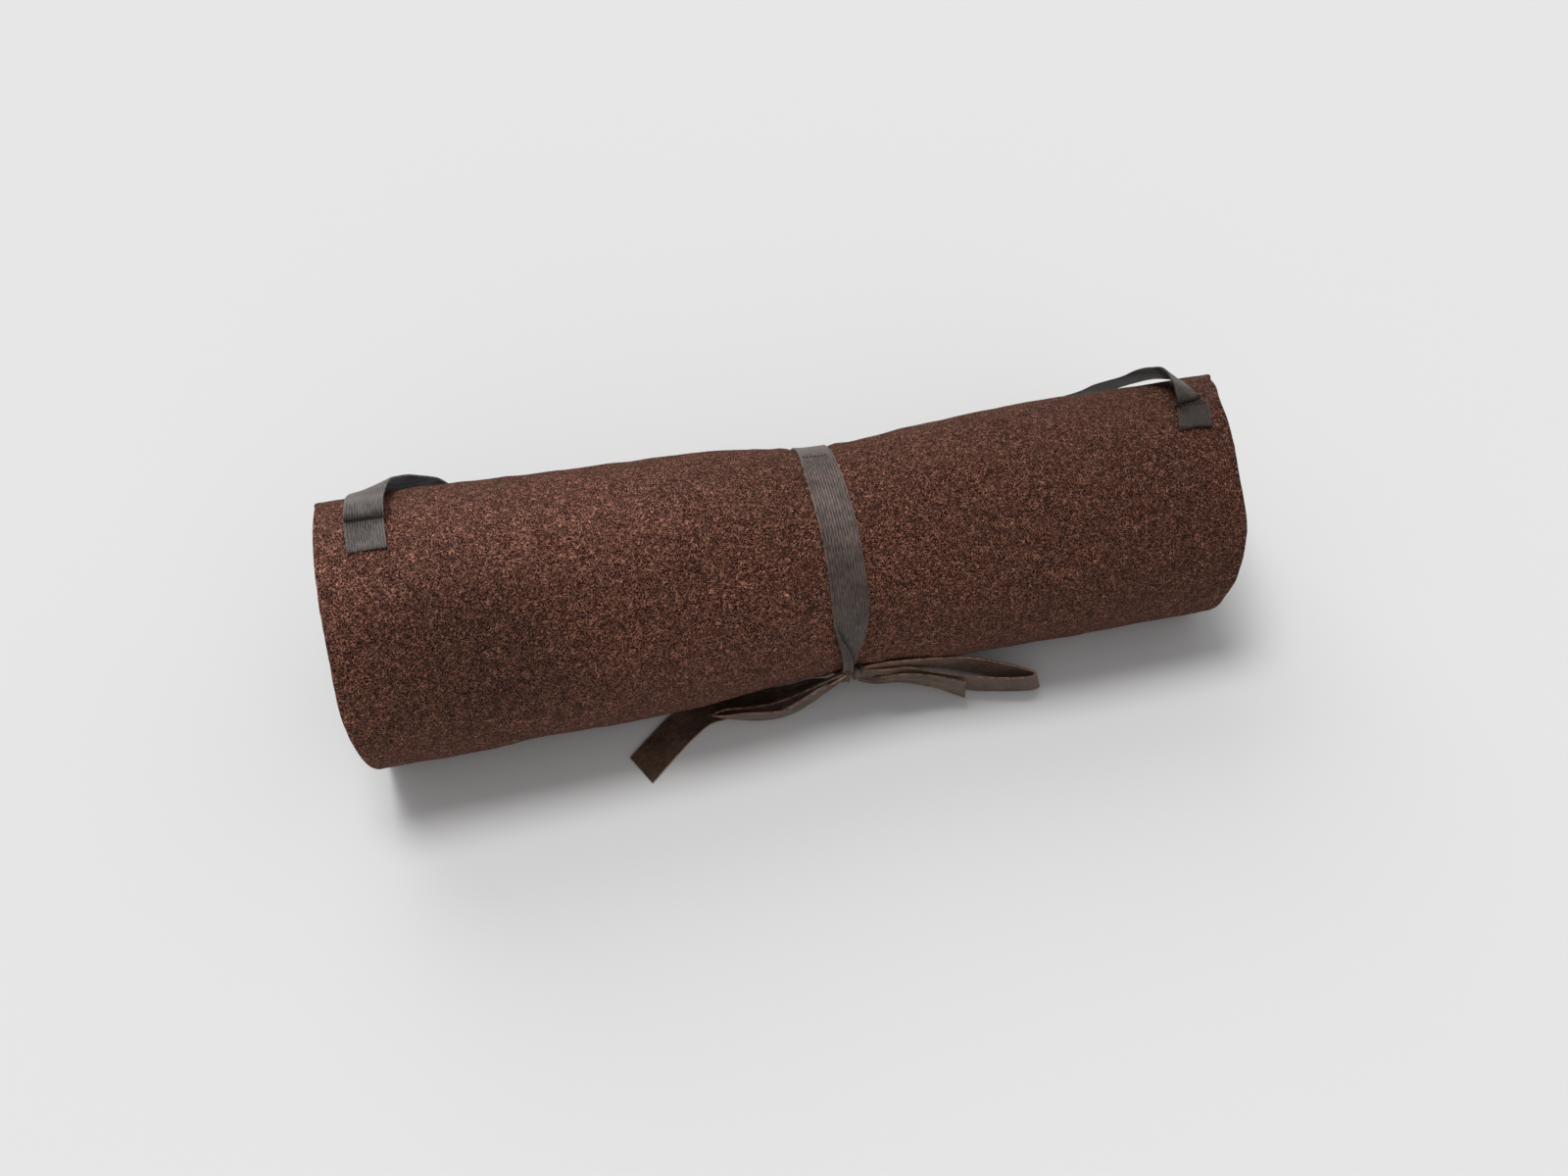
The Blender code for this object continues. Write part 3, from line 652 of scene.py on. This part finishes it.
# Rows: x, y, z of the strap's middle, and the direction of its width. It starts and ends in the creases
# of its two tabs, and is gathered at the right one.
DOWN_BACK = (0.0, -0.5, 0.87)
FLAT = (0.0, -1.0, 0.0)
CARRY_STRAP = [facing(*row) for row in (
    (-176.3, 11.7, 113.5, (1.0, 0.0, -0.03)), (-176.1, 10.6, 115.3, (1.0, 0.0, -0.03)),
    (-175.7, 12.0, 117.4, (1.0, 0.0, 0.0)), (-175.2, 17.2, 117.0, (1.0, -0.03, 0.04)),
    (-174.6, 25.2, 112.0, (0.95, -0.16, 0.12)), (-173.0, 32.0, 107.7, (0.86, -0.3, 0.4)),
    (-169.6, 38.6, 102.4, (0.52, -0.38, 0.75)), (-161.5, 46.2, 92.6, (0.05, -0.38, 0.92)),
    (-153.0, 51.0, 84.6, (-0.05, -0.38, 0.92)), (-144.0, 57.0, 72.5, DOWN_BACK),
    (-124.0, 67.0, 47.0, DOWN_BACK), (-103.0, 78.0, 25.0, DOWN_BACK), (-77.0, 87.5, 7.5, (0.0, -0.85, 0.5)),
    (-48.0, 93.0, 1.7, FLAT), (-12.0, 95.5, 1.1, FLAT), (22.0, 93.5, 1.5, FLAT),
    (54.0, 87.5, 6.5, (0.0, -0.85, 0.5)), (79.0, 77.5, 24.0, DOWN_BACK), (98.0, 66.0, 43.0, DOWN_BACK),
    (117.0, 56.0, 60.5, (0.0, -0.45, 0.89)), (139.0, 50.2, 71.6, DOWN_BACK),
    (150.5, 48.0, 77.2, (0.0, -0.45, 0.87)), (162.4, 43.2, 85.0, (-0.15, -0.5, 0.84)),
    (168.9, 36.9, 92.9, (-0.3, -0.46, 0.83)), (172.9, 28.6, 100.1, (-0.45, -0.4, 0.78)),
    (174.2, 20.5, 104.7, (-0.55, -0.32, 0.75), 15.5), (173.7, 14.0, 107.4, (-0.7, -0.36, 0.6), 14.0),
    (173.5, 9.8, 107.0, (-0.82, -0.35, 0.42), 12.6), (173.9, 7.4, 105.3, (-0.94, -0.2, 0.2), 12.0),
    (174.3, 7.6, 103.4, (-1.0, 0.0, 0.03), 12.0))]
STRAP_THICKNESS = 0.9


def make_bow():
    """Each loop's inner face is painted lighter and lilac: a lilac tint, with painted light that lifts the
    shade between its strands. Each tail is cut off a little askew.
    """
    for name, node, route, square, body, slant, lining_and_painted_light in (
            ("loop_left", "bow_loop_left", LOOP_LEFT, False, "bow_left", 0.0, (0.0, 1.0)),
            ("tail_left", "bow_tail_left", TAIL_LEFT, True, "bow_left", 2.4, (0.0, 0.0)),
            ("loop_right", "bow_loop_right", LOOP_RIGHT, False, "bow_right", 0.0, (1.0, 0.0)),
            ("tail_right", "bow_tail_right", TAIL_RIGHT, True, "bow_right", -3.9, (0.0, 0.0))):
        piece = ribbon(name, route, square, TIE, pleats, slant=slant, lining_and_painted_light=lining_and_painted_light)
        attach(piece, body)
        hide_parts(node)


def make_strap():
    """At rest the strap stands up out of each tab's crease and falls back behind the roll."""
    # Painted shade: one face of the strap takes the webbing's inner-face tint, painted darker and bluer for
    # where it turns down and away behind the roll.
    strap = ribbon("strap", CARRY_STRAP, True, WEBBING, thickness=STRAP_THICKNESS, lining_and_painted_light=(1.0, 0.0))
    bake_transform(strap)
    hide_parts("carry_strap")


# ---------------------------------------------------------------- the ribbon round the waist
def band_drop(theta):
    """The ribbon bridges the step at the felt's free edge."""
    bridge = BARE_PITCH * smoothstep((EDGE_ANGLE - theta) / 26.0)
    return np.where(theta >= EDGE_ANGLE, 0.0, np.minimum(bridge, wind_depth(theta + 360.0 - EDGE_ANGLE)))


def band_width(theta):
    """Full width round the roll, gathered towards the knot from both sides."""
    above = smoothstep((199.0 - theta) / 45.0)
    below = smoothstep((theta + 360.0 - 214.0) / 30.0)
    at_top = 0.13 * np.exp(-((theta - 52.0) / 22.0) ** 2)
    return RIBBON_WIDTH * (0.34 + 0.66 * np.minimum(above, below) - at_top)


def make_band():
    """Above the knot the ribbon's left edge curls over and lies on its face."""
    thetas = np.arange(-146.5, 204.0, 1.25)[::-1]
    curl_radius = 0.75
    folded = -1.0 + 5.2 * smoothstep((thetas - 153.0) / 32.0)
    whole = band_width(thetas) + np.maximum(folded, 0.0)
    v = ribbon_profile(41)
    run = (v + 1.0) / 2.0 * whole[:, None]
    turn = (run - folded[:, None]) / curl_radius
    inside = np.clip(turn, -math.pi / 2, math.pi / 2)
    x = curl_radius * (1.0 - np.cos(inside)) + np.abs(turn - inside) * curl_radius
    height = curl_radius * (1.0 - np.sin(inside))
    gathered = 1.0 - np.clip(band_width(thetas) / RIBBON_WIDTH, 0.0, 1.0)
    drift = 0.35 * soft_noise(thetas, thetas * 0.0, 38.0, 31) - 0.9 * gathered
    drift = drift - 0.4 - 0.8 * smoothstep((thetas - 60.0) / 40.0)
    x = x - x.min(axis=1, keepdims=True) + (WAIST_X + drift - band_width(thetas) / 2)[:, None]
    pleat = 0.45 * gathered[:, None] * np.sin(5.0 * v[None, :] + 0.01 * thetas[:, None])
    cup = 0.16 * soft_noise(thetas[:, None] * 0.9, x, 9.0, 33)
    under = band_drop(thetas)[:, None] - RIBBON_GAP - RIBBON_THICKNESS / 2
    lifted = 1.8 * np.clip((-math.pi / 2 - turn) * curl_radius / 4.0, 0.0, 1.0)
    middle = roll_points(x, thetas[:, None], under - height - pleat - cup - lifted)
    side = whole[:, None] / 2 * (1.0 - np.abs(v[None, :]))
    half = RIBBON_THICKNESS / 2 * (0.9 - 0.1 * smoothstep((side - 0.6) / 0.8)) - rounding(side, 0.3)
    weave = ribbon_weave(run_length(middle[:, len(v) // 2]), v)
    offset = grid_normals(middle) * half[..., None]
    # Painted shade: a narrow painted shadow on the band beside the curled flap's edge, and the flap itself
    # painted a little darker.
    curled = smoothstep((thetas[:, None] - 158.0) / 10.0)
    over = (turn < -math.pi / 2) * curled
    beside = np.exp(-((x - x[:, :1] - 0.5) / 0.8) ** 2) * (turn > 0.0) * curled
    painted_crease_shade = -0.35 * over - 0.75 * beside
    band = shell("waist_ribbon", to_frame(middle + offset), to_frame(middle - offset), weave, TIE,
                 (painted_crease_shade, painted_crease_shade))
    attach(band, "roll")
    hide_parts("tie_band")


KNOT_HALF = (5.0, 3.1, 6.2)
KNOT_SHIFT = (-0.3, -0.4, 2.0)


def make_knot():
    """A short wrap of gathered ribbon, its pleats running over the crossing of the bow."""
    half = KNOT_HALF
    rows, columns = 40, 48
    t = np.linspace(-1.0, 1.0, rows)[:, None]
    a = np.linspace(0.0, 2 * math.pi, columns, endpoint=False)[None, :]
    shoulder = np.clip(1.0 - np.abs(t) ** 3.2, 0.0, 1.0) ** 0.5
    pleats_seen = 0.55 * np.sin(9.0 * t + 1.6 * np.sin(a) + 0.6) + 0.16 * np.sin(21.0 * t + 2.0 * a)
    waist = 1.0 - 0.12 * np.exp(-((t - 0.15) / 0.3) ** 2)
    y = np.sin(a) * (half[1] * waist + pleats_seen) * shoulder
    z = np.cos(a) * (half[2] * waist + pleats_seen) * shoulder + 0.5 * np.sin(2.0 * t)
    x = t * half[0] * (1.0 + 0.1 * np.cos(2 * a)) + 0.5 * np.cos(a) * shoulder
    local = np.stack(np.broadcast_arrays(x, y, z), axis=-1)
    lean = math.radians(KNOT_ANGLE - 180.0)
    turned = local.copy()
    turned[..., 1] = local[..., 1] * math.cos(lean) - local[..., 2] * math.sin(lean)
    turned[..., 2] = local[..., 1] * math.sin(lean) + local[..., 2] * math.cos(lean)
    centre = roll_points(WAIST_X, KNOT_ANGLE, -(RIBBON_GAP + 2.6)) + np.array(KNOT_SHIFT)
    points = to_frame(turned[1:-1] + centre)
    ends = to_frame(turned[[0, -1], 0] + centre)
    index = np.arange((rows - 2) * columns).reshape(rows - 2, columns)
    after = np.roll(index, -1, axis=1)
    faces = np.stack([index[:-1], index[1:], after[1:], after[:-1]], axis=-1).reshape(-1, 4).tolist()
    first, last = (rows - 2) * columns, (rows - 2) * columns + 1
    faces += [[first, int(p), int(q)] for p, q in zip(index[0], after[0])]
    faces += [[last, int(q), int(p)] for p, q in zip(index[-1], after[-1])]
    knot = mesh_object("knot", np.concatenate([points.reshape(-1, 3), ends]), faces, TIE, 60.0)
    # Painted shade: the valleys between the knot's pleats are painted darker, where shade falls in them.
    painted_pleat_shade = -0.8 * np.clip(-pleats_seen[1:-1] / 0.5, 0.0, 1.0)
    half_width, girth = 0.007, 0.026
    turns = np.tile(np.linspace(0.0, girth, columns), rows - 2)
    across = np.repeat(np.linspace(-half_width, half_width, rows - 2), columns)
    weave = np.concatenate([np.stack([turns, across], axis=-1), [[0.0, -half_width], [0.0, half_width]]])
    lay_cloth(knot, weave, np.concatenate([painted_pleat_shade.ravel(), [0.0, 0.0]]))
    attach(knot, "roll")
    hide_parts("bow_knot")


# ---------------------------------------------------------------- thread
def stitch_row(name, starts, ends, bulge, node):
    """One mesh of short threads: each starts and ends in the cloth and stands proud between."""
    rings, sides = 7, 6
    points, faces = [], []
    for start, end, out in zip(starts, ends, bulge):
        along = unit(end - start)
        across = unit(np.cross(along, out))
        base = len(points)
        for k in range(rings):
            t = k / (rings - 1)
            middle = start + (end - start) * t + out * math.sin(math.pi * t) ** 0.7
            size = THREAD_RADIUS * (0.45 + 0.55 * math.sin(math.pi * t) ** 0.5)
            for j in range(sides):
                angle = 2 * math.pi * j / sides
                points.append(middle + (across * math.cos(angle) + unit(out) * math.sin(angle)) * size)
        for k in range(rings - 1):
            for j in range(sides):
                p, q = base + k * sides + j, base + k * sides + (j + 1) % sides
                faces.append((p, p + sides, q + sides, q))
        faces.append(tuple(base + j for j in range(sides)))
        faces.append(tuple(base + (rings - 1) * sides + j for j in reversed(range(sides))))
    row = mesh_object(name, to_frame(points), faces, THREAD, 80.0)
    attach(row, "roll")
    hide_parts(node)


def stitches_across(name, centre_x, theta, half_width, stand_off, count, node, seed):
    """A row across a ribbon, each stitch a little out of line with the next."""
    rng = np.random.default_rng(seed)
    edges = np.linspace(centre_x - half_width, centre_x + half_width, count + 1)
    wander = rng.uniform(-0.25, 0.25, (2, count))
    near = [roll_points(x + 0.2, theta + d, -stand_off + 0.25) for x, d in zip(edges[:-1], wander[0])]
    far = [roll_points(x - 0.2, theta + d, -stand_off + 0.25) for x, d in zip(edges[1:], wander[1])]
    angle = math.radians(theta)
    out = [np.array([0.0, math.cos(angle), math.sin(angle)]) * 0.42] * count
    stitch_row(name, near, far, out, node)


def make_pocket_seams():
    """Each seam is a line of stitches along the pocket panel's inner face."""
    depth = FELT_THICKNESS + LAYER_GAP + PANEL_THICKNESS
    stitch, pitch = 2.9, 3.4
    xs = np.arange(PANEL_LEFT + 3.0, PANEL_RIGHT - 3.5, pitch)
    for number in range(SEAM_COUNT):
        phi = SEAM_START + number * SEAM_SPACING
        theta = phi + EDGE_ANGLE
        level = wind_depth(phi) + depth
        near = roll_points(xs, theta, level)
        far = roll_points(xs + stitch, theta, level)
        angle = math.radians(theta)
        out = [np.array([0.0, -math.cos(angle), -math.sin(angle)]) * 0.3] * len(xs)
        stitch_row(f"seam_{number + 1}", near, far, out, f"pocket_seam_{number + 1}")


# ---------------------------------------------------------------- the strap's sewn ends
def make_tab(side):
    """The strap's end: down from the fold, turned under, and back beneath itself."""
    tab = TABS[side]
    fold, end = tab["fold"], tab["end"]
    layer = 0.82
    upper, lower = RIBBON_GAP + 1.5 * layer + 0.1, RIBBON_GAP + 0.5 * layer
    angles = list(np.linspace(fold - 0.3, end - 1.2, 12))
    places = [(theta, upper) for theta in angles]
    places += [(end - 0.5, upper - 0.12), (end, (upper + lower) / 2), (end - 0.5, lower + 0.1)]
    places += [(theta, lower) for theta in reversed(angles)]
    route = []
    for theta, stand_off in places:
        rise = (end - theta) / (end - fold)
        place = roll_points(tab["x"] + tab["skew"] * rise, theta, -stand_off)
        gather = (tab["width"] - RIBBON_WIDTH) * 0.6 * rise
        route.append([*place, 1.0, 0.0, -0.03, tab["width"] + gather])
    piece = ribbon(f"tab_{side}", route, True, WEBBING, samples=5, columns=25, thickness=layer)
    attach(piece, "roll")
    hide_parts(f"strap_tab_{side}")
    stitches_across(f"tab_stitches_{side}", tab["x"] + tab["skew"] * 0.9, fold + 2.0, tab["width"] / 2 - 1.0,
                    2 * RIBBON_GAP + 2 * layer, 6, f"tab_stitch_{side}", 51 if side == "left" else 52)


# ---------------------------------------------------------------- floor, light and camera
FLOOR_TONES = (0.665, 0.665, 0.665), (0.675, 0.675, 0.675)
FLOOR_HALF = 4.0
WORLD_STRENGTH = 0.37
# Name, strength, spread in degrees, and the direction that the light comes from.
LIGHTS = (("key", 1.8, 24.0, (-0.16, 0.16, 1.0)), ("rim", 0.9, 45.0, (-0.25, 1.0, 0.75)),
          ("fill", 0.5, 60.0, (0.0, -1.0, 0.7)))
CAMERA_ELEVATION, CAMERA_YAW, CAMERA_DISTANCE = 50.0, 13.03, 0.9
CAMERA_TARGET = (0.0, 0.0, 50.0)
SENSOR, LENS = 36.0, 47.4975
SHIFT_X, SHIFT_Y = -0.0079375, -0.014625


def make_floor():
    shader = Shader("floor", 0.9)
    tone = shader.noise(shader.object_coordinates(), 0.4, 2.0)
    shader.set("Base Color", shader.mix(tone, *FLOOR_TONES))
    half = FLOOR_HALF
    corners = [(-half, -half, 0.0), (half, -half, 0.0), (half, half, 0.0), (-half, half, 0.0)]
    floor = mesh_object("floor", corners, [(0, 1, 2, 3)], shader.material)


def make_light():
    """A soft light from above, a paler one from behind and to the left, a weak one from in front, and a
    pale room all round."""
    world = bpy.data.worlds.new("studio")
    bpy.context.scene.world = world
    world.use_nodes = True
    backdrop = world.node_tree.nodes["Background"]
    backdrop.inputs["Color"].default_value = (1.0, 1.0, 1.0, 1.0)
    backdrop.inputs["Strength"].default_value = WORLD_STRENGTH
    for name, energy, angle, source in LIGHTS:
        data = bpy.data.lights.new(name, "SUN")
        data.energy = energy
        data.angle = math.radians(angle)
        lamp = bpy.data.objects.new(name, data)
        lamp.rotation_euler = Vector(source).to_track_quat("Z", "Y").to_euler()
        bpy.context.scene.collection.objects.link(lamp)


def make_camera():
    """The camera looks down from in front, a little to the left of square on."""
    elevation, yaw = math.radians(CAMERA_ELEVATION), math.radians(CAMERA_YAW)
    forward = Vector((math.sin(yaw) * math.cos(elevation), math.cos(yaw) * math.cos(elevation),
                      -math.sin(elevation)))
    right = Vector((math.cos(yaw), -math.sin(yaw), 0.0))
    up = right.cross(forward)
    data = bpy.data.cameras.new("camera")
    data.sensor_width, data.lens = SENSOR, LENS
    data.shift_x, data.shift_y = SHIFT_X, SHIFT_Y
    data.clip_start, data.clip_end = 0.05, 20.0
    camera = bpy.data.objects.new("camera", data)
    camera.location = Vector(to_frame(CAMERA_TARGET)) - forward * CAMERA_DISTANCE
    rotation = Vector.to_track_quat(-forward, "Z", "Y").to_matrix()
    rotation.col[0], rotation.col[1], rotation.col[2] = right, up, -forward
    camera.rotation_euler = rotation.to_euler()
    bpy.context.scene.collection.objects.link(camera)
    bpy.context.scene.camera = camera


make_camera()
make_floor()
make_light()
make_felt_pieces()
make_band()
make_knot()
make_bow()
make_strap()
make_tab("left")
make_tab("right")
stitches_across("anchor_stitches", ANCHOR_X, ANCHOR_ANGLE, ANCHOR_HALF_WIDTH,
                2 * RIBBON_GAP + RIBBON_THICKNESS, 7, "band_anchor_stitch", 41)
make_pocket_seams()
bpy.context.scene.view_settings.view_transform = "Standard"
